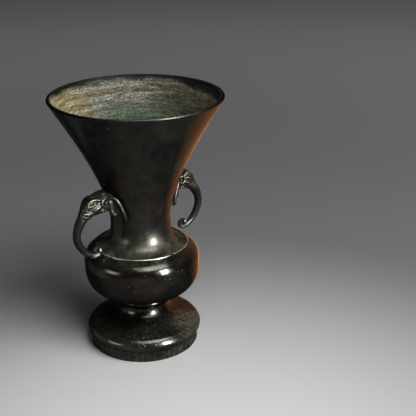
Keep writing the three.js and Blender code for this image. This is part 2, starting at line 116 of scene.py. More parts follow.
# Handles, with depths and stand-offs counted from the neck's skin
HEAD_ABOVE_RIDGE = 52
HEAD_LENGTH = 18
HEAD_WIDTH = 16.8
HEAD_ROOT_DEPTH = 4
HEAD_DIP = 2.2
TRUNK_STANDOFF = 38.4
TRUNK_WIDEST_DROP = 27
TRUNK_DROP = 50
TRUNK_FULLNESS = 0.45
CURL_STANDOFF = 18.4
CURL_WIDTH = 9.6
CURL_HEIGHT = 7.6
CURL_SWEEP = 235
CURL_TIGHTENING = 0.42
HEAD_SINK = 0.7
TENON_RADIUS = 4
TENON_HALF_LENGTH = 5
TENON_DEPTH = 2
PEEN_RADIUS = 5.8
PEEN_SEAT = 5.2
PEEN_TOP = 7.2
PEEN_CURVE = 0.03

# Fineness of the meshes
BODY_SEGMENTS = 224
FOOT_SEGMENTS = 720
INNER_SEGMENTS = 160
SHARP_ANGLE = 38
SPINE_STEPS = 22
CLAY_PITCH = 0.42
CLAY_LOW = (25, 0, 98)
CLAY_HIGH = (81, 23, 170)
RELIEF_ROUNDS = 10
RELIEF_RANGE = 0.7

BELLY_SEAT = FOOT_HEIGHT + FIT_GAP
RIDGE_LEVEL = BELLY_SEAT + BELLY_HEIGHT
RIDGE_INNER = RIDGE_RADIUS - RIDGE_WIDTH / 2
LEDGE_LEVEL = RIDGE_LEVEL - SHOULDER_EDGE
LEDGE_INNER = RIDGE_INNER - LEDGE_WIDTH
LEDGE_UNDERSIDE = LEDGE_LEVEL - LEDGE_THICKNESS
NECK_SPIGOT_RADIUS = LEDGE_INNER - FIT_GAP
THROAT_LEVEL = RIDGE_LEVEL + SHOULDER_HEIGHT
LIP_LEVEL = THROAT_LEVEL + TRUMPET_HEIGHT
SOCKET_LEVEL = FOOT_HEIGHT - SPIGOT_LENGTH
BORE_RADIUS = WAIST_RADIUS - FOOT_WALL
REBATE_RADIUS = SKIRT_RADIUS - FOOT_WALL
REBATE_LEVEL = PLATE_RECESS + PLATE_THICKNESS + FIT_GAP
HEAD_LEVEL = RIDGE_LEVEL + HEAD_ABOVE_RIDGE


# Profiles

def heading(angle):
    return np.array([cos(radians(angle)), sin(radians(angle))])


def bezier(p0, p1, p2, p3, t):
    return (1 - t) ** 3 * p0 + 3 * (1 - t) ** 2 * t * p1 + 3 * (1 - t) * t ** 2 * p2 + t ** 3 * p3


def sweep(start, leave, end, arrive, pulls, steps):
    """Smooth curve that leaves and arrives in given directions."""
    start, end = np.array(start, float), np.array(end, float)
    reach = np.linalg.norm(end - start)
    first = start + heading(leave) * pulls[0] * reach
    second = end - heading(arrive) * pulls[1] * reach
    return bezier(start, first, second, end, np.linspace(0, 1, steps + 1)[:, None])


def arc(centre, half_width, half_height, start, end, steps):
    angle = np.radians(np.linspace(start, end, steps + 1))
    return np.stack([centre[0] + half_width * np.cos(angle), centre[1] + half_height * np.sin(angle)], 1)


def offset(line, distance):
    index = np.arange(len(line))
    along = line[np.minimum(index + 1, len(line) - 1)] - line[np.maximum(index - 1, 0)]
    along /= np.linalg.norm(along, axis=1)[:, None]
    return line + distance * np.stack([-along[:, 1], along[:, 0]], 1)


LIP = arc((MOUTH_RADIUS - LIP_ROUND, LIP_LEVEL - LIP_ROUND), LIP_ROUND, LIP_ROUND, -LIP_FLARE, 90, steps=10)
SHOULDER = sweep((RIDGE_INNER - FIT_GAP, RIDGE_LEVEL + SHOULDER_PROUD), 180 - SHOULDER_SLOPE,
                 (THROAT_RADIUS, THROAT_LEVEL), 90, SHOULDER_PULLS, steps=36)
TRUMPET = sweep((THROAT_RADIUS, THROAT_LEVEL), 90, LIP[0], 90 - LIP_FLARE, TRUMPET_PULLS, steps=72)
NECK = np.vstack([SHOULDER, TRUMPET[1:]])


def neck_radius(height):
    return np.interp(height, NECK[:, 1], NECK[:, 0])


NECK_AT_HEAD = float(neck_radius(HEAD_LEVEL))


def neck_profile():
    """Profile of the neck, and how many of its points are outside."""
    inner = NECK_SPIGOT_RADIUS - NECK_WALL
    inside = offset(NECK, NECK_WALL)
    wall = inside[(inside[:, 0] < inner) | (inside[:, 1] > THROAT_LEVEL)]
    wall = wall[wall[:, 1] < LIP_LEVEL - EDGE_BREAK][::-1]
    spigot_end = LEDGE_UNDERSIDE - NECK_SPIGOT_REACH
    shoulder_seat = LEDGE_LEVEL + FIT_GAP
    outside = np.vstack([
        [(inner, spigot_end), (NECK_SPIGOT_RADIUS, spigot_end), (NECK_SPIGOT_RADIUS, shoulder_seat),
         (RIDGE_INNER - FIT_GAP, shoulder_seat)],
        NECK, LIP[1:],
    ])
    edge = [(wall[0, 0] + out, LIP_LEVEL - down) for out, down in LIP_INNER_EDGE]
    return np.vstack([outside, edge, wall]), len(outside)


def belly_profile():
    inner = SPIGOT_RADIUS - SPIGOT_WALL
    spigot_end = SOCKET_LEVEL + FIT_GAP
    widest = (BELLY_RADIUS, BELLY_SEAT + BELLY_WIDEST_HEIGHT)
    ridge = arc((RIDGE_RADIUS, RIDGE_LEVEL), RIDGE_WIDTH / 2, RIDGE_PROUD, 0, 180, steps=14)
    lower = sweep((BELLY_SEAT_RADIUS, BELLY_SEAT), UNDERSIDE_SLOPE, widest, 90, BELLY_LOWER_PULLS, steps=48)
    upper = sweep(widest, 90, ridge[0], 180 - BELLY_TOP_SLOPE, BELLY_UPPER_PULLS, steps=36)
    outside = np.vstack([lower, upper[1:]])
    inside = offset(outside, BELLY_WALL)
    inside = inside[inside[:, 1] < LEDGE_UNDERSIDE][::-1]
    floor = inside[-1]
    drop = (floor[0] - inner) * tan(radians(UNDERSIDE_SLOPE))
    return np.vstack([
        [(inner, spigot_end), (SPIGOT_RADIUS, spigot_end), (SPIGOT_RADIUS, BELLY_SEAT)],
        outside, ridge[1:],
        [(RIDGE_INNER, LEDGE_LEVEL), (LEDGE_INNER, LEDGE_LEVEL), (LEDGE_INNER, LEDGE_UNDERSIDE)],
        inside[::2], [(inner, floor[1] - drop)],
    ])


def flange_roll():
    """Roll of the flange, from the skirt over its widest point to where the top slopes in."""
    centre = (FLANGE_RADIUS - ROLL_DEPTH, SKIRT_HEIGHT + FLANGE_RISE)
    start = degrees(asin(-FLANGE_RISE / ROLL_HALF_HEIGHT))
    under = arc(centre, ROLL_DEPTH, ROLL_HALF_HEIGHT, start, 0, steps=8)
    slope = tan(radians(FLANGE_TOP_SLOPE))
    end = atan((ROLL_HALF_HEIGHT / (ROLL_DEPTH * slope)) ** (1 / (2 - ROLL_POWER)))
    angle = np.linspace(0, end, 25)[1:]
    over = np.stack([centre[0] + ROLL_DEPTH * np.cos(angle) ** ROLL_POWER,
                     centre[1] + ROLL_HALF_HEIGHT * np.sin(angle) ** ROLL_POWER], 1)
    return np.vstack([under, over])


def foot_profile():
    skirt = [(SKIRT_RADIUS, z) for z in np.linspace(EDGE_BREAK, SKIRT_HEIGHT, 9)]
    roll = flange_roll()
    waist = (WAIST_RADIUS, FOOT_HEIGHT - COLLAR_HEIGHT - WAIST_BELOW_COLLAR)
    spread = sweep(roll[-1], 180 - FLANGE_TOP_SLOPE, waist, 90, FOOT_SPREAD_PULLS, steps=48)
    collar_centre = (COLLAR_RADIUS - COLLAR_ROLL_DEPTH, FOOT_HEIGHT - COLLAR_HEIGHT / 2)
    collar = arc(collar_centre, COLLAR_ROLL_DEPTH, COLLAR_HEIGHT / 2, -90, COLLAR_ROLL_END, steps=18)
    socket = SPIGOT_RADIUS + FIT_GAP
    ledge = REBATE_RADIUS - PLATE_LEDGE
    inside = offset(spread, FOOT_WALL)
    inside = inside[inside[:, 0] < ledge][::-1]
    return np.vstack([
        [(REBATE_RADIUS, 0), (SKIRT_RADIUS - EDGE_BREAK, 0)], skirt, roll, spread[1:], collar,
        [(collar[-1, 0], FOOT_HEIGHT), (socket, FOOT_HEIGHT), (socket, SOCKET_LEVEL),
         (BORE_RADIUS, SOCKET_LEVEL)],
        inside[::2], [(ledge, REBATE_LEVEL), (REBATE_RADIUS, REBATE_LEVEL)],
    ])


def fillet_profile(radius, level, leg):
    """Braze in an inner corner, with a slightly hollow face."""
    foot, side, corner = (radius, level - FILLET_LEG), (radius + leg, level), (radius, level)
    hollow = (radius + FILLET_HOLLOW * leg, level - FILLET_HOLLOW * FILLET_LEG)
    return np.array([foot, hollow, side, corner] if leg > 0 else [foot, corner, side, hollow], float)


# Meshes

def show(name, data):
    made = bpy.data.objects.new(name, data)
    scene.collection.objects.link(made)
    return made


def make_piece(name, vertices, faces, sharp=None):
    mesh = bpy.data.meshes.new(name)
    mesh.from_pydata(np.asarray(vertices, float) * MM, [], faces)
    mesh.polygons.foreach_set("use_smooth", np.ones(len(mesh.polygons), bool))
    if sharp:
        mesh.set_sharp_from_angle(angle=radians(sharp))
    mesh.update()
    return show(name, mesh)


def add_values(piece, name, values):
    attribute = piece.data.attributes.new(name, "FLOAT", "POINT")
    attribute.data.foreach_set("value", values.astype(np.float32))


def turned(name, profile, segments, carve=None):
    """Body of revolution from a closed profile that runs up its outside and down its inside."""
    rows = len(profile)
    angle = np.linspace(0, 2 * pi, segments, endpoint=False)
    radius = np.repeat(profile[:, :1], segments, 1)
    height = np.repeat(profile[:, 1:], segments, 1)
    if carve:
        radius = carve(radius, height)
    vertices = np.stack([radius * np.cos(angle), radius * np.sin(angle), height], 2).reshape(-1, 3)
    row, column = np.meshgrid(np.arange(rows), np.arange(segments), indexing="ij")
    after, beside = (row + 1) % rows, (column + 1) % segments
    faces = np.stack([row * segments + column, row * segments + beside,
                      after * segments + beside, after * segments + column], 2).reshape(-1, 4)
    return make_piece(name, vertices, faces.tolist(), SHARP_ANGLE)


def disc(name, profile, segments):
    """Closed round plate from an outline whose ends lie on the axis."""
    angle = np.linspace(0, 2 * pi, segments, endpoint=False)
    rings = profile[1:-1]
    vertices = [(0, 0, profile[0][1]), (0, 0, profile[-1][1])]
    for radius, height in rings:
        vertices += [(radius * cos(a), radius * sin(a), height) for a in angle]
    starts = [2 + ring * segments for ring in range(len(rings))]
    faces = []
    for here in range(segments):
        beside = (here + 1) % segments
        faces.append((0, starts[0] + beside, starts[0] + here))
        for low, high in zip(starts[:-1], starts[1:]):
            faces.append((low + here, low + beside, high + beside, high + here))
        faces.append((1, starts[-1] + here, starts[-1] + beside))
    return make_piece(name, vertices, faces, SHARP_ANGLE)


def hatched(radius, height):
    """Radius of the foot, its skirt scored by hand with fine upright strokes of uneven depth."""
    rng = np.random.default_rng(STROKE_SEED)
    count = radius.shape[1]
    position = np.arange(count)
    depth = np.zeros(count)
    for _ in range(STROKES):
        centre, width = rng.uniform(0, count), rng.uniform(*STROKE_WIDTHS)
        gap = (position - centre + count / 2) % count - count / 2
        depth += rng.uniform(*STROKE_DEPTHS) * np.exp(-(gap / width) ** 2)
    depth = np.minimum(depth, DEEPEST_STROKE)
    on_skirt = np.isclose(radius, SKIRT_RADIUS)
    fade = np.clip((SKIRT_HEIGHT - STROKE_END - height) / STROKE_FADE, 0, 1)
    return radius - np.where(on_skirt, depth * fade, 0)


def stroke_dirt(foot):
    """How much dirt the strokes hold at each vertex. What lies 1 mm under the skirt is its inside."""
    place = np.empty(3 * len(foot.data.vertices))
    foot.data.vertices.foreach_get("co", place)
    x, y, z = place.reshape(-1, 3).T / MM
    depth = np.where(z < SKIRT_HEIGHT, SKIRT_RADIUS - np.hypot(x, y), 0)
    return np.where(depth < 1, np.clip(depth / DIRTY_STROKE, 0, 1), 0)


# Clay: signed distances on a grid, negative inside, that forms are added to and cut from

def soft_min(a, b, blend):
    if blend <= 0:
        return np.minimum(a, b)
    h = np.clip(0.5 + 0.5 * (b - a) / blend, 0, 1)
    return b * (1 - h) + a * h - blend * h * (1 - h)


def smooth_line(points, radii, steps):
    points = np.array(points, float)
    radii = np.broadcast_to(np.array(radii, float), len(points))
    data = np.hstack([points, radii[:, None]])
    padded = np.vstack([2 * data[0] - data[1], data, 2 * data[-1] - data[-2]])
    out = []
    for p0, p1, p2, p3 in zip(padded[:-3], padded[1:-2], padded[2:-1], padded[3:]):
        for t in np.linspace(0, 1, steps, endpoint=False):
            out.append(0.5 * (2 * p1 + (p2 - p0) * t + (2 * p0 - 5 * p1 + 4 * p2 - p3) * t ** 2
                              + (3 * p1 - p0 - 3 * p2 + p3) * t ** 3))
    out.append(data[-1])
    out = np.array(out)
    return out[:, :3], out[:, 3]


STEPS = np.eye(3, dtype=int)
EMPTY_DISTANCE = 6


class Clay:
    def __init__(self, low, high, pitch):
        self.low, self.pitch = np.array(low, float), pitch
        self.axes = [np.arange(a, b + pitch, pitch, dtype=np.float32) for a, b in zip(low, high)]
        self.field = np.full([len(a) for a in self.axes], EMPTY_DISTANCE, np.float32)

    def shape(self, low, high, distance, blend=0.0, cut=False, margin=3.0):
        """Adds or cuts the form that a distance gives, within a box and a margin round it."""
        part = tuple(slice(np.searchsorted(axis, a - margin), np.searchsorted(axis, b + margin))
                     for axis, a, b in zip(self.axes, low, high))
        x, y, z = np.ix_(*(axis[s] for axis, s in zip(self.axes, part)))
        here = self.field[part]
        there = np.broadcast_to(distance(x, y, z), here.shape).astype(np.float32)
        self.field[part] = -soft_min(-here, there, blend) if cut else soft_min(here, there, blend)

    def ball(self, centre, radii, tilt=0, **how):
        """Ellipsoid, turned by tilt degrees in the plane of the handle."""
        c, s = heading(tilt)
        cx, cy, cz = centre
        a, b, d = radii
        reach = max(a, d)

        def distance(x, y, z):
            u, w = (x - cx) * c + (z - cz) * s, -(x - cx) * s + (z - cz) * c
            v = y - cy
            k0 = np.sqrt((u / a) ** 2 + (v / b) ** 2 + (w / d) ** 2)
            k1 = np.sqrt((u / a ** 2) ** 2 + (v / b ** 2) ** 2 + (w / d ** 2) ** 2)
            return k0 * (k0 - 1) / np.maximum(k1, 1e-4)
        self.shape((cx - reach, cy - b, cz - reach), (cx + reach, cy + b, cz + reach), distance, **how)

    def rope(self, points, radii, steps=6, **how):
        """Round bar of changing thickness along a smooth line through points."""
        line, size = smooth_line(points, radii, steps)
        for a, b, ra, rb in zip(line[:-1], line[1:], size[:-1], size[1:]):
            ab = b - a
            length2 = float(ab @ ab)

            def distance(x, y, z):
                dx, dy, dz = x - a[0], y - a[1], z - a[2]
                t = np.clip((dx * ab[0] + dy * ab[1] + dz * ab[2]) / length2, 0, 1)
                gap = np.sqrt((dx - t * ab[0]) ** 2 + (dy - t * ab[1]) ** 2 + (dz - t * ab[2]) ** 2)
                return gap - (ra + (rb - ra) * t)
            big = max(ra, rb)
            self.shape(np.minimum(a, b) - big, np.maximum(a, b) + big, distance, **how)

    def skin(self):
        """Vertices and quads over the zero level, of both halves, which mirror each other in y."""
        field = np.concatenate([self.field[:, :0:-1, :], self.field], 1)
        low = self.low.copy()
        low[1] = -self.axes[1][-1]
        shape = np.array(field.shape)
        inside = field < 0
        count = sum(inside[i:shape[0] - 1 + i, j:shape[1] - 1 + j, k:shape[2] - 1 + k].astype(np.int8)
                    for i, j, k in product((0, 1), repeat=3))
        active = (count > 0) & (count < 8)
        cells = np.argwhere(active)
        number = np.full(active.shape, -1, np.int64)
        number[active] = np.arange(len(cells))
        vertices = low + self.pitch * self.crossings(field, cells)
        faces = []
        for axis in range(3):
            first, second = (axis + 1) % 3, (axis + 2) % 3
            here = np.moveaxis(inside, axis, 0)
            edges = np.argwhere(np.moveaxis(here[:-1] != here[1:], 0, axis))
            edges = edges[(edges[:, first] > 0) & (edges[:, second] > 0)
                          & (edges[:, first] < shape[first] - 1) & (edges[:, second] < shape[second] - 1)]
            one, two = STEPS[first], STEPS[second]
            quad = np.stack([number[tuple((edges - step).T)] for step in (one + two, two, 0 * one, one)], 1)
            outward = inside[tuple(edges.T)]
            faces.append(np.where(outward[:, None], quad, quad[:, ::-1]))
        return vertices, np.vstack(faces)

    @staticmethod
    def crossings(field, cells):
        """Middle of the points where a cell's edges cross the zero level, in steps of the grid."""
        total, hits = np.zeros((len(cells), 3)), np.zeros(len(cells))
        for axis, corner in product(range(3), product((0, 1), repeat=3)):
            if corner[axis]:
                continue
            start = cells + corner
            f0, f1 = field[tuple(start.T)], field[tuple((start + STEPS[axis]).T)]
            cross = (f0 < 0) != (f1 < 0)
            point = start[cross].astype(float)
            point[:, axis] += f0[cross] / (f0[cross] - f1[cross])
            total[cross] += point
            hits[cross] += 1
        return total / hits[:, None]


def neighbours(faces):
    pairs = np.vstack([faces[:, [k, (k + 1) % 4]] for k in range(4)])
    return np.vstack([pairs, pairs[:, ::-1]])


def averaged(values, pairs):
    here, there = pairs.T
    count = len(values)
    total = np.stack([np.bincount(here, column, count) for column in values[there].T], 1)
    return total / np.bincount(here, minlength=count)[:, None]


def relief(vertices, faces):
    """Where a surface stands out, above 0.5, or lies in a hollow, below it."""
    pairs = neighbours(faces)
    a, b, c, d = (vertices[faces[:, k]] for k in range(4))
    facing = np.cross(c - a, d - b)
    normal = np.zeros_like(vertices)
    for k, axis in product(range(4), range(3)):
        normal[:, axis] += np.bincount(faces[:, k], facing[:, axis], len(vertices))
    normal /= np.linalg.norm(normal, axis=1)[:, None]
    smooth = vertices
    for _ in range(RELIEF_ROUNDS):
        smooth = averaged(smooth, pairs)
    proud = ((vertices - smooth) * normal).sum(1)
    return np.clip(0.5 + proud / RELIEF_RANGE, 0, 1)


# Handle: elephant head, trunk, ears and tusks, worked as clay in the right handle's place

# Place on the spine, half width, back and belly as shares of the head's width, and how square the section is
HEAD_SECTIONS = np.array([
    (0, 0.429, 0.595, 0.452, 2.1),
    (0.5, 0.5, 0.675, 0.476, 2.2),
    (1, 0.43, 0.6, 0.452, 2.2),
    (1.3, 0.334, 0.381, 0.405, 2.1),
    (1.5, 0.286, 0.262, 0.31, 2),
    (2, 0.22, 0.22, 0.22, 2),
    (3, 0.173, 0.173, 0.173, 2),
    (3.5, 0.128, 0.128, 0.128, 2),
    (4, 0.092, 0.092, 0.092, 2),
])


def section_at(place):
    following = max(1, int(np.searchsorted(HEAD_SECTIONS[:, 0], place)))
    before, after = HEAD_SECTIONS[following - 1], HEAD_SECTIONS[following]
    share = (place - before[0]) / (after[0] - before[0])
    share = share * share * (3 - 2 * share)
    return before[1:] + (after[1:] - before[1:]) * share


def trunk_spine():
    """Centreline of head and trunk as rows of x, z and place."""
    root = np.array([NECK_AT_HEAD - HEAD_ROOT_DEPTH, HEAD_LEVEL])
    brow = np.array([NECK_AT_HEAD + HEAD_LENGTH, HEAD_LEVEL - HEAD_DIP])
    widest = np.array([NECK_AT_HEAD + TRUNK_STANDOFF, HEAD_LEVEL - TRUNK_WIDEST_DROP])
    lowest = np.array([NECK_AT_HEAD + CURL_STANDOFF, HEAD_LEVEL - TRUNK_DROP])
    upper, lower = np.array([widest[0], brow[1]]), np.array([widest[0], lowest[1]])
    stretch = np.linspace(0, 1, SPINE_STEPS, endpoint=False)
    rows = [(*(root + (brow - root) * t), t) for t in stretch]
    for start, corner, end, place in ((brow, upper, widest, 1), (widest, lower, lowest, 2)):
        p1 = start + (corner - start) * TRUNK_FULLNESS
        p2 = end + (corner - end) * TRUNK_FULLNESS
        rows += [(*bezier(start, p1, p2, end, t), place + t) for t in stretch]
    half = np.array([CURL_WIDTH, CURL_HEIGHT]) / 2
    centre = lowest + np.array([0, half[1]])
    for t in np.linspace(0, 1, 2 * SPINE_STEPS + 1):
        point = centre + half * (1 - CURL_TIGHTENING * t) * heading(-90 - CURL_SWEEP * t)
        rows.append((*point, 3 + t))
    return np.array(rows)


def add_head_and_trunk(clay, spine):
    for (ax, az, pa), (bx, bz, pb) in zip(spine[:-1], spine[1:]):
        length = hypot(bx - ax, bz - az)
        tx, tz = (bx - ax) / length, (bz - az) / length
        sa, sb = section_at(pa), section_at(pb)

        def distance(x, y, z):
            along = np.clip((x - ax) * tx + (z - az) * tz, 0, length)
            share = along / length
            half, back, belly = (HEAD_WIDTH * (sa[k] + (sb[k] - sa[k]) * share) for k in range(3))
            power = (sa[3] + sb[3]) / 2
            dx, dz = x - ax - along * tx, z - az - along * tz
            depth, beyond = dz * tx - dx * tz, dx * tx + dz * tz
            thick = np.where(depth > 0, back, belly)
            q = (np.abs(y / half) ** power + np.abs(depth / thick) ** power) ** (2 / power)
            return (np.sqrt(q + (beyond / half) ** 2) - 1) * np.sqrt(half * thick)
        big = HEAD_WIDTH * max(*sa[:3], *sb[:3])
        low, high = (min(ax, bx) - big, 0, min(az, bz) - big), (max(ax, bx) + big, big, max(az, bz) + big)
        clay.shape(low, high, distance)


def add_trunk_tip(clay, spine):
    """Finger at the end of the curl."""
    x, z = spine[-1, :2]
    clay.ball((x - 1.1, 0, z - 0.5), (1.6, 2.2, 1.6), blend=0.3)


def add_skull(clay):
    # Crown, sides of the forehead, folds across its middle, and the ridge along it
    clay.ball((43.4, 0, 164.4), (4.4, 3.8, 2.2), tilt=-10, blend=2)
    clay.ball((56.2, 3, 157.4), (5.8, 2.6, 3.7), tilt=-38, blend=2.2)
    for middle, side in (((57.2, 0, 160.4), (57.2, 4.2, 159.6)), ((59.8, 0, 158.3), (59.6, 4, 157.7)),
                         ((61.4, 0, 155.8), (61, 3.8, 155.3)), ((62.8, 0, 153.2), (62.4, 3.2, 152.7))):
        clay.rope([middle, side], 1.5, blend=2)
    clay.rope([(45, 0, 164.4), (50.6, 0, 163), (56.4, 0, 160.6)], [1.8, 1.9, 1.6], blend=2)
    # Cheek and jaw
    clay.ball((51.2, 6.1, 153.4), (5.6, 2.2, 2.1), tilt=-24, blend=1.1)
    clay.ball((46.2, 5.2, 149.5), (3.6, 2.7, 2.2), tilt=-6, blend=1.3)


def add_eye(clay):
    # Socket and eyeball
    clay.ball((57.6, 7.5, 158.9), (4.2, 2.2, 2.8), tilt=-32, blend=0.7, cut=True)
    clay.ball((57.3, 4.6, 158.7), (3.2, 1.8, 1.8), tilt=-32, blend=0.15)
    # Brow, lower lid, the crease behind the eye, and the hollow behind the cheek
    clay.rope([(62.4, 3.2, 153.9), (61.7, 4.2, 156.4), (60.1, 4.6, 159.1), (57.8, 4.9, 160.7),
               (54.6, 5.5, 161.4), (51.6, 6.1, 161), (48.6, 6.9, 159.8)],
              [0.3, 0.5, 0.6, 0.7, 0.8, 0.75, 0.45], blend=0.8)
    clay.rope([(61.8, 4.4, 155.2), (58.6, 5.6, 155.6), (54.8, 6.5, 156.8), (51.4, 7.1, 158.4)],
              [0.4, 0.6, 0.6, 0.4], blend=0.5)
    clay.rope([(53.6, 7, 158.6), (51, 7.6, 157), (48.8, 8, 156.2)],
              [0.3, 0.45, 0.3], blend=0.4, cut=True)
    clay.ball((44.4, 8.6, 150.3), (1.6, 1.6, 1.4), blend=0.5, cut=True)


def add_mouth(clay):
    # Root of the tusk, lip, and the line of the mouth
    clay.ball((58.2, 4.4, 148.9), (3.6, 1.8, 1.8), tilt=8, blend=0.9)
    clay.ball((63, 3.3, 146.6), (4.2, 1.9, 1.7), tilt=28, blend=1)
    clay.rope([(68.9, 3.2, 150.3), (65.2, 4.7, 148.5), (60.6, 5.8, 147), (56, 6.3, 145.8)],
              [0.4, 0.6, 0.6, 0.4], blend=0.5, cut=True)
    # Tusk, and the crease under the lip
    clay.rope([(57, 4.8, 148.4), (61.2, 5, 149.2), (65.6, 4.5, 149.9)], [1.5, 1.25, 0.6], blend=0.3)
    clay.rope([(67.4, 3.2, 146.6), (65.2, 4.4, 144.8), (62.8, 4.4, 144.4), (60.8, 3.6, 145.2)],
              [0.25, 0.4, 0.4, 0.25], blend=0.4, cut=True)


def add_scroll(clay):
    """Scroll behind the eye: a raised turn, a groove inside it and a bead in the middle."""
    cx, y, cz = 44.7, 8.3, 157.4

    def turn(level, *places):
        return [(cx + r * cos(radians(a)), level, cz + r * sin(radians(a))) for a, r in places]
    raised = turn(y, (125, 3.3), (80, 3.4), (30, 3.5), (-20, 3.4), (-70, 3.2), (-115, 3))
    groove = turn(y + 0.5, (120, 2.2), (80, 2.2), (30, 2.2), (-20, 2.1), (-70, 2), (-120, 1.9))
    clay.rope(raised, [0.5, 0.8, 1, 1.05, 0.95, 0.6], blend=0.6)
    clay.rope(groove, [0.4, 0.75, 0.9, 0.9, 0.8, 0.4], blend=0.4, cut=True)
    clay.ball((cx - 0.4, y - 0.3, cz), (1.2, 1.5, 1.2), blend=0.3)


EAR_BACK = [(41, 7.6, 159.9), (39.1, 9.9, 160.7), (37.2, 12.3, 160.3), (35.5, 14.2, 158.3),
            (33.6, 15.2, 154.6), (31.7, 15.6, 149.8), (30.1, 15.9, 145.2), (29, 16.2, 141.4),
            (28.4, 16.2, 139), (28, 15.8, 137.4)]
EAR_FRONT = [(40.4, 6.6, 159.2), (39, 7.5, 155.4), (38.6, 7.6, 151.4), (38.4, 7.8, 148),
             (37.6, 8.8, 145.2), (36, 10.8, 143.4)]
EAR_OUTLINE = np.array([
    (5, 160.4), (7.2, 157.4), (7.3, 152), (7.3, 148.4), (8, 145.6), (9.2, 143.9), (10.8, 142.8),
    (12.6, 142.4), (14.2, 142.8), (15.4, 144.4), *(point[1:] for point in EAR_BACK[5::-1])])
EAR_LOW = (28, 4, 136)
EAR_HIGH = (44, 20, 166)
EAR_ROOT = (39, 7.3)
EAR_SPAN = 8.3
EAR_DISH = 1.3
EAR_HALF_THICKNESS = 1
EAR_SLANT = 0.8
EAR_THINNING = 0.25


def outline_distance(y, z):
    """Distance to the ear's outline in its own plane, negative inside."""
    gap = np.full(np.broadcast(y, z).shape, 1e9, np.float32)
    inside = np.zeros(gap.shape, bool)
    for (ay, az), (by, bz) in zip(EAR_OUTLINE, np.roll(EAR_OUTLINE, -1, 0)):
        ey, ez = by - ay, bz - az
        t = np.clip(((y - ay) * ey + (z - az) * ez) / (ey * ey + ez * ez), 0, 1)
        gap = np.minimum(gap, np.hypot(y - ay - t * ey, z - az - t * ez))
        if abs(ez) > 1e-9:
            inside ^= ((az > z) != (bz > z)) & (y < ey * (z - az) / ez + ay)
    return np.where(inside, -gap, gap)


def add_ear(clay):
    """Dished leaf between a rolled back edge and a front edge that fades into it."""
    back = np.array(sorted(EAR_BACK, key=lambda point: point[2]))
    root_x, root_y = EAR_ROOT

    def distance(x, y, z):
        x_back = np.interp(z, back[:, 2], back[:, 0])
        across = np.clip((y - root_y) / EAR_SPAN, -0.4, 1.2)
        dish = EAR_DISH * np.clip(4 * across * (1 - across), 0, 1)
        middle = root_x + (x_back - root_x) * across - dish
        leaf = np.abs(x - middle) * EAR_SLANT - EAR_HALF_THICKNESS
        return np.maximum(leaf, outline_distance(y, z)) + EAR_THINNING
    clay.shape(EAR_LOW, EAR_HIGH, distance, blend=0.8)
    clay.rope(EAR_BACK, [0.8, 1.1, 1.3, 1.35, 1.35, 1.4, 1.5, 1.7, 1.4, 0.5], blend=0.5)
    clay.rope(EAR_FRONT, [0.8, 0.7, 0.5, 0.35, 0.2, 0.1], blend=3)


def seat_on_neck(clay):
    def neck(x, y, z):
        return np.hypot(x, y) - neck_radius(z) + HEAD_SINK
    clay.shape(CLAY_LOW, CLAY_HIGH, neck, cut=True)


def add_tenon(clay):
    """Shank through the neck's wall, and the head that is peened over the rove."""
    middle = NECK_AT_HEAD - TENON_DEPTH
    seat, top = NECK_AT_HEAD - PEEN_SEAT, NECK_AT_HEAD - PEEN_TOP

    def shank(x, y, z):
        return np.maximum(np.hypot(y, z - HEAD_LEVEL) - TENON_RADIUS, np.abs(x - middle) - TENON_HALF_LENGTH)

    def peen(x, y, z):
        reach = np.hypot(y, z - HEAD_LEVEL)
        dome = top + PEEN_CURVE * reach ** 2
        return np.maximum(np.maximum(reach - PEEN_RADIUS, dome - x), x - seat)
    clay.shape((middle - TENON_HALF_LENGTH, 0, HEAD_LEVEL - TENON_RADIUS),
               (middle + TENON_HALF_LENGTH, TENON_RADIUS, HEAD_LEVEL + TENON_RADIUS), shank)
    clay.shape((top, 0, HEAD_LEVEL - PEEN_RADIUS), (seat, PEEN_RADIUS, HEAD_LEVEL + PEEN_RADIUS), peen)


def handle_skin():
    clay = Clay(CLAY_LOW, CLAY_HIGH, CLAY_PITCH)
    spine = trunk_spine()
    add_head_and_trunk(clay, spine)
    add_skull(clay)
    add_eye(clay)
    add_mouth(clay)
    add_trunk_tip(clay, spine)
    add_ear(clay)
    add_scroll(clay)
    seat_on_neck(clay)
    add_tenon(clay)
    vertices, faces = clay.skin()
    pairs = neighbours(faces)
    for _ in range(2):
        vertices = 0.5 * vertices + 0.5 * averaged(vertices, pairs)
    return vertices, faces


# Materials

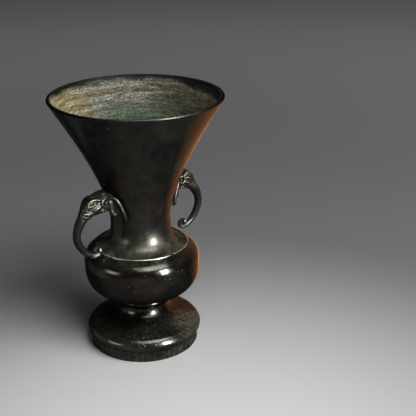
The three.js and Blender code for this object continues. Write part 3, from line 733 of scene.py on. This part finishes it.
class Graph:
    """Shader nodes of a material or of the world."""

    def __init__(self, owner):
        owner.use_nodes = True
        self.owner, self.tree = owner, owner.node_tree
        self.place = self.add("TexCoord", output="Object")

    def feed(self, socket, value):
        if isinstance(value, bpy.types.NodeSocket):
            self.tree.links.new(value, socket)
        else:
            socket.default_value = (*value, 1) if socket.type == "RGBA" else value

    def add(self, kind, inputs=(), output=0, **settings):
        """New node, of which one output is given back."""
        node = self.tree.nodes.new("ShaderNode" + kind)
        for key, value in settings.items():
            setattr(node, key, value)
        for key, value in dict(inputs).items():
            self.feed(node.inputs[key], value)
        return node.outputs[output]

    def set(self, **values):
        shader = self.tree.nodes["Principled BSDF"]
        for key, value in values.items():
            self.feed(shader.inputs[key.replace("_", " ")], value)

    def stretched(self, *scale):
        return self.add("Mapping", {"Vector": self.place, "Scale": scale})

    def noise(self, scale, detail, roughness, place=None, distortion=0):
        inputs = {"Vector": place or self.place, "Scale": scale, "Detail": detail, "Roughness": roughness,
                  "Distortion": distortion}
        return self.add("TexNoise", inputs, "Fac")

    def ramp(self, value, *stops):
        made = self.add("ValToRGB", {0: value})
        elements = made.node.color_ramp.elements
        while len(elements) < len(stops):
            elements.new(0.5)
        for element, (position, color) in zip(elements, stops):
            element.position = position
            element.color = (color, color, color, 1) if np.isscalar(color) else (*color, 1)
        return made

    def mix(self, share, a, b):
        return self.add("Mix", {0: share, 6: a, 7: b}, 2, data_type="RGBA")

    def math(self, operation, a, b):
        return self.add("Math", {0: a, 1: b}, operation=operation)

    times = partialmethod(math, "MULTIPLY")
    plus = partialmethod(math, "ADD")
    minus = partialmethod(math, "SUBTRACT")

    def most(self, first, *others):
        for other in others:
            first = self.math("MAXIMUM", first, other)
        return first

    def between(self, value, low, high, to_low=0, to_high=1):
        """Smooth step from to_low, where the value is low, to to_high."""
        inputs = enumerate((value, low, high, to_low, to_high))
        return self.add("MapRange", inputs, interpolation_type="SMOOTHSTEP")

    def height(self):
        return self.add("SeparateXYZ", {0: self.place}, 2)

    def rise(self, low, high, *to):
        """Smooth step between two levels in millimetres."""
        return self.between(self.height(), low * MM, high * MM, *to)

    def far(self, point):
        """Distance from a point in millimetres, itself in metres."""
        inputs = {0: self.place, 1: [MM * c for c in point]}
        return self.add("VectorMath", inputs, "Value", operation="DISTANCE")

    def near(self, point, radius):
        """Soft round spot, of a point and a radius in millimetres."""
        return self.between(self.far(point), radius * MM, 0.35 * radius * MM)

    def attribute(self, name):
        return self.add("Attribute", output="Fac", attribute_name=name)

    def bump(self, value, distance, **below):
        return self.add("Bump", {"Distance": distance, "Height": value, **below})


def surface(name):
    return Graph(bpy.data.materials.new(name))


BLACK_PATINA = (0.0085, 0.0086, 0.0077)
OLIVE_PATINA = (0.027, 0.0268, 0.0215)
BROWN_PATINA = (0.040, 0.024, 0.015)
PALE_SPECK = (0.22, 0.21, 0.165)
GREY_DUST_AND_SHEEN = (0.125, 0.127, 0.106)
BROWN_DUST_AND_SHEEN = (0.105, 0.097, 0.068)
STROKE_DUST = (0.055, 0.054, 0.044)
WORN_BRONZE = (0.34, 0.325, 0.225)
HANDLE_BLACK = (0.0105, 0.0105, 0.0084)
HANDLE_OLIVE = (0.028, 0.0275, 0.021)
HOLLOW_BLACK = (0.009, 0.009, 0.007)
DULL_BRASS = (0.082, 0.079, 0.06)
PAINTED_HIGHLIGHT_BRASS = (0.26, 0.25, 0.19)
BRASS_GLINT = (0.29, 0.285, 0.22)
PALE_GREEN = (0.36, 0.38, 0.28)
VERDIGRIS = (0.17, 0.27, 0.17)
PAINTED_SHADE_GREEN = (0.018, 0.024, 0.013)
DEEPEST_BLACK = (0.004, 0.004, 0.0035)
INNER_BRONZE = ((0.022, 0.019, 0.013), (0.085, 0.068, 0.04))
BRAZE = ((0.12, 0.09, 0.04), (0.34, 0.26, 0.12))
PALE_PAPER = (0.6, 0.6, 0.602)
PAINTED_SHADE_PAPER = (0.17, 0.17, 0.175)
FAR_PAPER = (0.36, 0.36, 0.368)


def patina(name, speckle, gloss, polish, dust, stains=(), hazes=(), chips=(), worn=None, blackening=None,
           scored=False):
    """Dark lacquer-like patina with olive clouds, brown patches, pale specks, grey dust and uneven gloss.

    gloss is the least roughness of the skin, and polish that of its clear coat. dust has the levels where its
    film starts and is fullest, and its share. Stains of brown and pale chips are points and radii, and hazes
    of dust have a share as well; on the neck's shoulder the dust film and hazes are also a painted sheen.
    worn and blackening give the share of bare metal and of black, and the black under the belly is painted
    shade. A scored skin has dust where its attribute score says.
    """
    g = surface(name)
    clouds = g.ramp(g.noise(38, 9, 0.68, distortion=0.4), (0.38, 0), (0.66, 1))
    color = g.mix(clouds, BLACK_PATINA, OLIVE_PATINA)
    patches = g.ramp(g.noise(21, 4, 0.6, place=g.stretched(1, 1, 1.6)), (0.54, 0), (0.72, 0.6))
    for point, radius in stains:
        spot = g.times(g.near(point, radius), g.between(g.noise(130, 5, 0.7), 0.36, 0.62))
        patches = g.most(patches, spot)
    color = g.mix(patches, color, BROWN_PATINA)
    specks = g.ramp(g.noise(560, 2, 0.5), (0.70 - 0.06 * speckle, 0), (0.76 - 0.06 * speckle, 1))
    crowds = g.ramp(g.noise(55, 3, 0.6), (0.48 - 0.06 * speckle, 0), (0.66, 1))
    specks = g.most(g.times(specks, crowds), *(g.near(point, radius) for point, radius in chips))
    color = g.mix(g.times(specks, 0.3 + 0.35 * speckle), color, PALE_SPECK)
    start, full, dust_share = dust
    film = g.times(g.rise(start, full), dust_share)
    film = g.times(film, g.ramp(g.noise(95, 6, 0.72, distortion=0.6), (0.38, 0.1), (0.66, 1)))
    for point, radius, share in hazes:
        grain = g.noise(300, 6, 0.85, place=g.stretched(1, 1, 1.5))
        haze = g.ramp(grain, (0.4, 0.08 * share), (0.6, share))
        film = g.most(film, g.times(g.near(point, radius), haze))
    # Grey and brown dust, which on the neck's shoulder is also a painted sheen
    color = g.mix(film, color, g.mix(g.noise(60, 3, 0.6), GREY_DUST_AND_SHEEN, BROWN_DUST_AND_SHEEN))
    dirt = g.most(specks, film)
    if scored:
        groove = g.times(g.attribute("score"), g.between(g.noise(260, 4, 0.7), 0.38, 0.62))
        color = g.mix(groove, color, STROKE_DUST)
        dirt = g.most(dirt, groove)
    # Blackening: soot on the lip, and painted shade under the belly
    if blackening:
        black = blackening(g)
        color = g.mix(black, color, DEEPEST_BLACK)
        dirt = g.most(dirt, black)
    rough = g.between(g.noise(64, 5, 0.65), 0.3, 0.75, gloss, gloss + 0.13)
    rough = g.plus(rough, g.times(dirt, 0.4))
    clean = g.minus(1, dirt)
    metal = g.times(clean, 0.75)
    if worn:
        bare = worn(g)
        rough = g.most(rough, g.times(bare, 0.5))
        metal = g.most(metal, bare)
        color = g.mix(bare, color, WORN_BRONZE)
    normal = g.bump(g.noise(900, 3, 0.6), 0.00003)
    normal = g.bump(g.noise(110, 4, 0.55), 0.0001, Normal=normal)
    g.set(Base_Color=color, Metallic=metal, Roughness=rough, Normal=normal, Specular_IOR_Level=0,
          Specular_Tint=(0.2, 0.2, 0.2), Coat_Weight=g.times(clean, 0.12), Coat_Roughness=polish)
    return g.owner


def lip_soot(g):
    """Lip blackened all round, and polished by hands only towards the front."""
    band = g.rise(LIP_LEVEL - 1.9, LIP_LEVEL - 1.2)
    return g.times(band, g.minus(1, g.near((-24, -76, LIP_LEVEL), 80)))


def neck_patina():
    return patina(
        # On the shoulder the dust film and the first two hazes are dust and also a painted sheen
        "neck_patina", speckle=0.25, gloss=0.27, polish=0.14, dust=(124, 105, 0.45), blackening=lip_soot,
        hazes=[((-15, -28, 109), 22, 0.3), ((20, -28, 107), 15, 0.45), ((-10, -75, 238), 30, 0.16)],
        chips=[((-62.3, -43.9, 239), 1.3), ((-61.6, -44.9, 238.6), 1), ((0.3, -30.7, 143.7), 1.4)])


def ridge_wear(g):
    """Ridge at the belly's mouth, rubbed down to the metal."""
    band = g.rise(RIDGE_LEVEL + 0.15, RIDGE_LEVEL + 0.75)
    band = g.times(band, g.between(g.noise(120, 4, 0.6), 0.2, 0.5))
    # Less bare metal towards the back left
    faded_side = g.near((-34, 29, RIDGE_LEVEL), 38)
    return g.times(band, g.minus(0.7, g.times(faded_side, 0.65)))


def belly_under_shade(g):
    """Painted shade: the belly darkened towards its underside, for the dark foot and shaded floor that it
    reflects.
    """
    return g.rise(BELLY_SEAT + 38, BELLY_SEAT + 16, 0, 0.45)


def belly_patina():
    return patina(
        "belly_patina", speckle=0.6, gloss=0.1, polish=0.07, dust=(90, 103, 0.25), worn=ridge_wear,
        # The blackened underside is painted shade
        blackening=belly_under_shade, stains=[((-32, -45, 83), 17), ((-20, -50, 76), 12)],
        chips=[((0.6, -55.2, 90.2), 0.8), ((5.6, -54.8, 89.8), 0.9), ((-13.4, -53.6, 86.2), 0.8),
               ((-8.8, -54.6, 85.7), 1), ((7, -53.9, 72.8), 1), ((-42.4, -35.5, 81.4), 0.9),
               ((-38, -40, 76), 0.9)])


def foot_patina():
    return patina(
        "foot_patina", speckle=1, gloss=0.15, polish=0.08, dust=(46, 14, 0.22), scored=True,
        stains=[((27, -21, 29), 13)], hazes=[((26, -42, 22), 32, 0.75), ((-10, -36, 25), 32, 0.22)],
        chips=[((-32.5, -44.1, 19.1), 1.1), ((-23.5, -49.5, 19.1), 1.1)])


# Tones inside the mouth, each a ramp over its mottle: where the colours come, and the colours
FINE = (0.42, 0.475, 0.53, 0.59)
COARSE = (0.42, 0.50, 0.59)
MOUTH_TONES = {
    "lime": (FINE, (0.014, 0.013, 0.009), (0.074, 0.072, 0.047), (0.16, 0.156, 0.108), (0.38, 0.37, 0.29)),
    "mint": (FINE, (0.014, 0.015, 0.011), (0.068, 0.073, 0.058), (0.145, 0.156, 0.128), (0.36, 0.385, 0.33)),
    "tan": (FINE, (0.018, 0.015, 0.008), (0.098, 0.084, 0.045), (0.205, 0.183, 0.112), (0.42, 0.395, 0.285)),
    "chalk": (FINE, (0.02, 0.02, 0.015), (0.09, 0.089, 0.067), (0.192, 0.19, 0.152), (0.43, 0.42, 0.36)),
    "lit_ochre": ((0.4, 0.475, 0.54, 0.6), (0.042, 0.03, 0.011), (0.18, 0.145, 0.068), (0.34, 0.3, 0.185),
              (0.58, 0.55, 0.42)),
    "slate": (COARSE, (0.022, 0.026, 0.022), (0.078, 0.088, 0.073), (0.22, 0.24, 0.2)),
    "green": (COARSE, (0.013, 0.024, 0.012), (0.054, 0.083, 0.05), (0.165, 0.235, 0.145)),
    "deep": ((0.4, 0.6), (0.008, 0.008, 0.006), (0.032, 0.033, 0.024)),
    "bare": ((0.42, 0.52, 0.62), (0.01, 0.01, 0.006), (0.036, 0.035, 0.02), (0.12, 0.115, 0.072)),
    "black": ((0.5, 0.6, 0.66), DEEPEST_BLACK, (0.016, 0.016, 0.012), (0.07, 0.068, 0.055)),
}


def inner_lime():
    """Inside of the trumpet: streaks of lime under the dark lip, turning green and dark further down."""
    g = surface("inner_lime")
    streaks = g.noise(1, 5, 0.65, place=g.stretched(24, 24, 300), distortion=0.3)
    scratches = g.noise(1, 4, 0.7, place=g.stretched(95, 95, 900), distortion=0.2)
    grain = g.noise(620, 4, 0.8)
    mottle = g.plus(g.times(streaks, 0.28), g.plus(g.times(scratches, 0.24), g.times(grain, 0.48)))
    tone = {name: g.ramp(mottle, *zip(stops, colors)) for name, (stops, *colors) in MOUTH_TONES.items()}
    # Lime of the upper part, each tone at its own place
    tanned = g.times(g.rise(230, 234), g.rise(242, 238, 0, 0.75))
    tanned = g.most(tanned, g.ramp(g.noise(19, 4, 0.6), (0.42, 0), (0.58, 1)))
    lime = g.mix(tanned, tone["lime"], tone["tan"])
    lime = g.mix(g.times(g.near((36, 68, 245), 62), g.rise(236, 242.5)), lime, tone["mint"])
    lime = g.mix(g.times(g.near((24, 60, 230), 48), g.rise(238, 231, 0.15, 0.9)), lime, tone["chalk"])
    # Ochre blotches on the left wall, also painted paler there as painted light where the light falls on that
    # wall
    lime = g.mix(g.near((-52, 50, 240), 54), lime, tone["lit_ochre"])
    # Slate, green and dark below it, at levels that wander
    wander = g.times(g.minus(g.noise(17, 5, 0.65), 0.5), 0.024)
    level = g.plus(g.height(), g.plus(wander, g.times(g.near((-50, 52, 226), 75), 0.012)))
    color = g.mix(g.between(level, 0.221, 0.229), tone["slate"], lime)
    color = g.mix(g.between(level, 0.212, 0.220), tone["green"], color)
    color = g.mix(g.between(level, 0.135, 0.18), tone["deep"], color)
    # Painted shade: darker green on the right inner wall, which faces away from the light
    color = g.mix(g.times(g.near((62, 12, 212), 46), 0.4), color, PAINTED_SHADE_GREEN)
    # Darker and browner on one side, and black under the lip with a ragged edge that hangs lower at some
    # places
    rubbed = g.times(g.near((80, -15, 243), 84), g.between(g.noise(60, 5, 0.7), 0.25, 0.6, 0.15, 0.65))
    color = g.mix(rubbed, color, tone["bare"])
    ragged = g.noise(1, 6, 0.8, place=g.stretched(60, 60, 240))
    edge = g.plus(g.height(), g.times(g.minus(ragged, 0.5), 0.013))
    # The black hangs lowest on the right, as painted shade on the wall that faces away from the light
    for point, radius, drop in (((72, -22, 245), 62, 0.005), ((-28, 74, 246), 48, 0.001),
                                ((-74, 20, 246), 56, -0.0018)):
        edge = g.plus(edge, g.times(g.near(point, radius), drop))
    color = g.mix(g.between(edge, 0.2418, 0.2472), color, tone["black"])
    g.set(Base_Color=color, Roughness=g.between(mottle, 0.40, 0.60, 0.45, 0.72),
          Normal=g.bump(mottle, 0.00025), Specular_IOR_Level=0.04)
    return g.owner


def handle_bronze():
    """Bronze dark in the hollows, rubbed to olive brass on what stands out, green where hands don't reach,
    with painted highlights and painted shade.
    """
    g = surface("handle_patina")
    stand = g.attribute("relief")
    breakup = g.times(g.minus(g.noise(240, 4, 0.6), 0.5), 0.3)
    worn = g.between(g.plus(stand, breakup), 0.58, 0.95)
    clouds = g.ramp(g.noise(70, 4, 0.6), (0.35, 0), (0.7, 1))
    color = g.mix(clouds, HANDLE_BLACK, HANDLE_OLIVE)
    # Painted highlight: the worn brass is brighter on the right head's face
    brass = g.mix(g.near((56, -6, 155), 14), DULL_BRASS, PAINTED_HIGHLIGHT_BRASS)
    color = g.mix(g.times(worn, 0.75), color, brass)
    hollow = g.between(stand, 0.45, 0.2)
    color = g.mix(hollow, color, HOLLOW_BLACK)
    # Verdigris under the curl
    low = g.most(g.times(g.rise(108.5, 104.5), 0.4), g.near((-57, 0, 103), 7))
    green = g.times(low, g.between(g.noise(180, 4, 0.6), 0.38, 0.62))
    color = g.mix(g.times(green, 0.8), color, VERDIGRIS)
    # Black on the trunk; painted shade on the crowns and round the curls, whose inside edge has a painted
    # highlight
    trunk = g.times(g.rise(151, 142), g.rise(108, 112))
    curl_x, curl_z = NECK_AT_HEAD + 16.5, HEAD_LEVEL - 45
    curls = g.most(g.near((curl_x, 0, curl_z), 7), g.near((-curl_x, 0, curl_z), 7))
    lowest_x = NECK_AT_HEAD + CURL_STANDOFF
    # Painted highlight: a pale brass glint at each curl's inside edge
    glint = g.most(g.near((3.9 - lowest_x, -1.5, curl_z - 0.4), 2.1), g.near((lowest_x + 2, -1.5, curl_z), 2))
    # Painted shade: the crowns and curls blackened where they lie in shadow
    black = g.most(g.near((49, 0, 166), 11), g.near((-49, 0, 166), 11), g.minus(curls, g.most(green, glint)))
    color = g.mix(g.times(g.most(black, trunk), 0.8), color, BLACK_PATINA)
    color = g.mix(glint, color, BRASS_GLINT)
    # Pale green crust at the left curl's lower edge, also lightened as a painted highlight
    pale = g.times(g.near((-52.5, -2, 103.5), 4.5), g.between(g.noise(300, 3, 0.6), 0.35, 0.6))
    color = g.mix(pale, color, PALE_GREEN)
    dull = g.most(hollow, green, black, g.times(trunk, 0.7))
    clean = g.minus(1, dull)
    rough = g.between(g.noise(130, 4, 0.6), 0.3, 0.7, 0.32, 0.5)
    rough = g.plus(rough, g.times(dull, 0.3))
    normal = g.bump(g.noise(800, 3, 0.6), 0.00006)
    normal = g.bump(g.noise(150, 3, 0.5), 0.00014, Normal=normal)
    g.set(Base_Color=color, Metallic=g.times(clean, 0.7), Roughness=rough, Normal=normal,
          Specular_IOR_Level=0.1, Specular_Tint=(0.25, 0.25, 0.25), Coat_Weight=g.times(clean, 0.06),
          Coat_Roughness=0.12)
    return g.owner


def dull_bronze(name, dark, light):
    """Unpolished bronze or braze inside the vase: blotched, dull, with a cast grain."""
    g = surface(name)
    blotch = g.ramp(g.noise(85, 5, 0.65), (0.35, 0), (0.68, 1))
    color = g.mix(blotch, dark, light)
    color = g.mix(g.ramp(g.noise(420, 3, 0.6), (0.6, 0), (0.74, 0.6)), color, VERDIGRIS)
    rough = g.between(g.noise(150, 4, 0.6), 0.3, 0.7, 0.42, 0.68)
    g.set(Base_Color=color, Metallic=0.55, Roughness=rough, Normal=g.bump(g.noise(380, 4, 0.65), 0.0002))
    return g.owner


def floor_paper():
    """Grey paper with painted light and shade: a painted pool of light in front of the vase, painted shade
    darkest round and behind it, and lighter again far off against the lamps' fall-off.
    """
    g = surface("floor_paper")
    # Centre of the painted pool of light
    far = g.far((-115, -200, 0))
    color = g.mix(g.between(far, 0.06, 0.5), PALE_PAPER, PAINTED_SHADE_PAPER)
    color = g.mix(g.between(far, 0.7, 1.9), color, FAR_PAPER)
    g.set(Base_Color=color, Roughness=0.75, Normal=g.bump(g.noise(400, 3, 0.6), 0.0001), Specular_IOR_Level=0)
    return g.owner


# Pieces

def dress(piece, node, slot, *materials):
    for material in materials:
        piece.data.materials.append(material)
    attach(piece, "root")
    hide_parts(node)


def build_neck():
    profile, outside_rows = neck_profile()
    neck = turned("neck_shell", profile, BODY_SEGMENTS)
    dress(neck, "trumpet_neck", "patina_bronze", neck_patina(), inner_lime())
    is_inside = np.repeat(np.arange(len(profile)) >= outside_rows, BODY_SEGMENTS)
    neck.data.polygons.foreach_set("material_index", is_inside.astype(np.int32))


def build_belly():
    belly = turned("belly_shell", belly_profile(), BODY_SEGMENTS)
    dress(belly, "belly_bowl", "patina_bronze", belly_patina())


def build_foot():
    foot = turned("foot_shell", foot_profile(), FOOT_SEGMENTS, hatched)
    dress(foot, "pedestal_foot", "patina_bronze", foot_patina())
    add_values(foot, "score", stroke_dirt(foot))


def build_plate(bronze):
    radius = REBATE_RADIUS - FIT_GAP
    top = PLATE_RECESS + PLATE_THICKNESS
    outline = [(0, PLATE_RECESS), (radius - EDGE_BREAK, PLATE_RECESS), (radius, PLATE_RECESS + EDGE_BREAK),
               (radius, top), (0, top)]
    dress(disc("base_disc", outline, INNER_SEGMENTS), "base_plate", "inner_bronze", bronze)


def build_seals():
    braze = dull_bronze("braze_skin", *BRAZE)
    for node, radius, level, leg in (
            ("neck_braze_seal", NECK_SPIGOT_RADIUS + FIT_GAP, LEDGE_UNDERSIDE - FIT_GAP, FILLET_LEG),
            ("foot_braze_seal", BORE_RADIUS - FIT_GAP, SOCKET_LEVEL, -FILLET_LEG),
            ("base_braze_seal", REBATE_RADIUS - FIT_GAP, PLATE_RECESS - FIT_GAP, -FILLET_LEG)):
        bead = turned(node + "_bead", fillet_profile(radius, level, leg), INNER_SEGMENTS)
        dress(bead, node, "braze", braze)


def build_handles(bronze):
    """Handles, which are alike and turned half round, and the finish of the roves that hold them."""
    shape, quads = handle_skin()
    stand = relief(shape, quads)
    skin = handle_bronze()
    for side, turn in (("right", 1), ("left", -1)):
        handle = make_piece(f"{side}_elephant", shape * np.array([turn, turn, 1]), quads.tolist())
        add_values(handle, "relief", stand)
        dress(handle, f"{side}_handle", "handle_bronze", skin)
        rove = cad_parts[f"{side}_tenon_rove"]
        rove.data.materials.clear()
        rove.data.materials.append(bronze)


# Stage, camera and lights, in metres and degrees

FLOOR_REACH = 7
CAMERA_POSITION = Vector((-0.480808, -0.661776, 0.466))
CAMERA_AZIMUTH = -126
CAMERA_YAW = 40.526
CAMERA_PITCH = 21.975
CAMERA_ROLL = 0.504
SENSOR_WIDTH = 36
FOCAL_PIXELS = 925
PICTURE_PIXELS = 416
LAMP_TARGET = Vector((0, 0, 0.1))
GLOW = (0.06, 0.06, 0.062)
BACKDROP = (0.05, 0.05, 0.051)


def build_floor():
    mesh = bpy.data.meshes.new("floor")
    corners = [(x * FLOOR_REACH, y * FLOOR_REACH, 0) for x, y in ((-1, -1), (1, -1), (1, 1), (-1, 1))]
    mesh.from_pydata(corners, [], [(0, 1, 2, 3)])
    floor = show("floor", mesh)
    floor.data.materials.append(floor_paper())


def build_camera():
    yaw, pitch, roll = (radians(angle) for angle in (CAMERA_YAW, CAMERA_PITCH, CAMERA_ROLL))
    view = bpy.data.cameras.new("camera")
    view.sensor_width = SENSOR_WIDTH
    view.lens = FOCAL_PIXELS / PICTURE_PIXELS * SENSOR_WIDTH
    forward = Vector((sin(yaw) * cos(pitch), cos(yaw) * cos(pitch), -sin(pitch)))
    level = Vector((cos(yaw), -sin(yaw), 0))
    below = forward.cross(level)
    right = cos(roll) * level + sin(roll) * below
    down = cos(roll) * below - sin(roll) * level
    camera = show("camera", view)
    turn = Matrix((right, -down, -forward)).transposed().to_4x4()
    camera.matrix_world = Matrix.Translation(CAMERA_POSITION) @ turn
    scene.camera = camera


def area_lamp(name, position, target, size, power, color=(1, 1, 1), spread=180, diffuse=False):
    """Rectangular lamp, which shows in reflections only unless it is diffuse."""
    light = bpy.data.lights.new(name, "AREA")
    light.shape = "RECTANGLE"
    light.size, light.size_y = size
    light.energy = power
    light.spread = radians(spread)
    light.color = color
    lamp = show(name, light)
    lamp.location = position
    lamp.rotation_mode = "QUATERNION"
    lamp.rotation_quaternion = (target - position).to_track_quat("-Z", "Y")
    lamp.visible_diffuse = diffuse


def softbox(name, azimuth, elevation, distance, size, power, diffuse=False):
    """Lamp aimed at the vase, with its azimuth counted from the camera's, to the right."""
    a, e = radians(CAMERA_AZIMUTH + azimuth), radians(elevation)
    way = Vector((cos(a) * cos(e), sin(a) * cos(e), sin(e)))
    area_lamp(name, LAMP_TARGET + distance * way, LAMP_TARGET, size, power, diffuse=diffuse)


def soft_card(name, centre, facing, sides, strength, color, spread):
    """Square lamps, the larger ones further back, so that the edge fades in reflections."""
    facing = Vector(facing).normalized()
    for side in sides:
        position = Vector(centre) - 0.02 * side * facing
        area_lamp(f"{name}_{round(side / MM)}", position, position + facing, (side, side),
                  strength * side * side, color, spread)


def build_lamps():
    soft_card("warm_card", centre=(0.156, -0.035, 0.088), facing=(-0.77, -0.59, 0.25),
              sides=(0.10, 0.14, 0.18, 0.22, 0.26), strength=1.1, color=(1.0, 0.40, 0.14), spread=115)
    soft_card("left_card", centre=(-0.17, 0.14, 0.012), facing=(0.17, -0.14, 0.16),
              sides=(0.16, 0.21, 0.26, 0.31), strength=0.38, color=(1, 1, 1), spread=150)
    for share in (2, 3, 4, 5, 6):
        softbox(f"fill_{share}", azimuth=-60, elevation=7, distance=1.5 + 0.02 * share,
                size=(0.15 * share, 0.1 * share), power=0.105 * share * share)
    softbox("top", azimuth=38, elevation=56, distance=1.7, size=(1.15, 0.85), power=37, diffuse=True)
    softbox("sheen", azimuth=22, elevation=57, distance=1.68, size=(1.35, 1.1), power=30)
    softbox("key", azimuth=43, elevation=9.5, distance=1.5, size=(0.36, 0.9), power=160)
    softbox("back", azimuth=180, elevation=58, distance=1.6, size=(0.8, 0.5), power=26)


def build_world():
    """Glow that lights dull surfaces, and a backdrop that the camera and reflections see instead."""
    scene.world = bpy.data.worlds.new("studio")
    g = Graph(scene.world)
    seen = g.most(g.add("LightPath", output="Is Camera Ray"), g.add("LightPath", output="Is Glossy Ray"))
    g.feed(g.tree.nodes["Background"].inputs["Color"], g.mix(seen, GLOW, BACKDROP))


inner_bronze = dull_bronze("inner_bronze_skin", *INNER_BRONZE)
build_neck()
build_belly()
build_foot()
build_plate(inner_bronze)
build_seals()
build_handles(inner_bronze)
build_floor()
build_camera()
build_lamps()
build_world()

scene.view_settings.view_transform = "Standard"
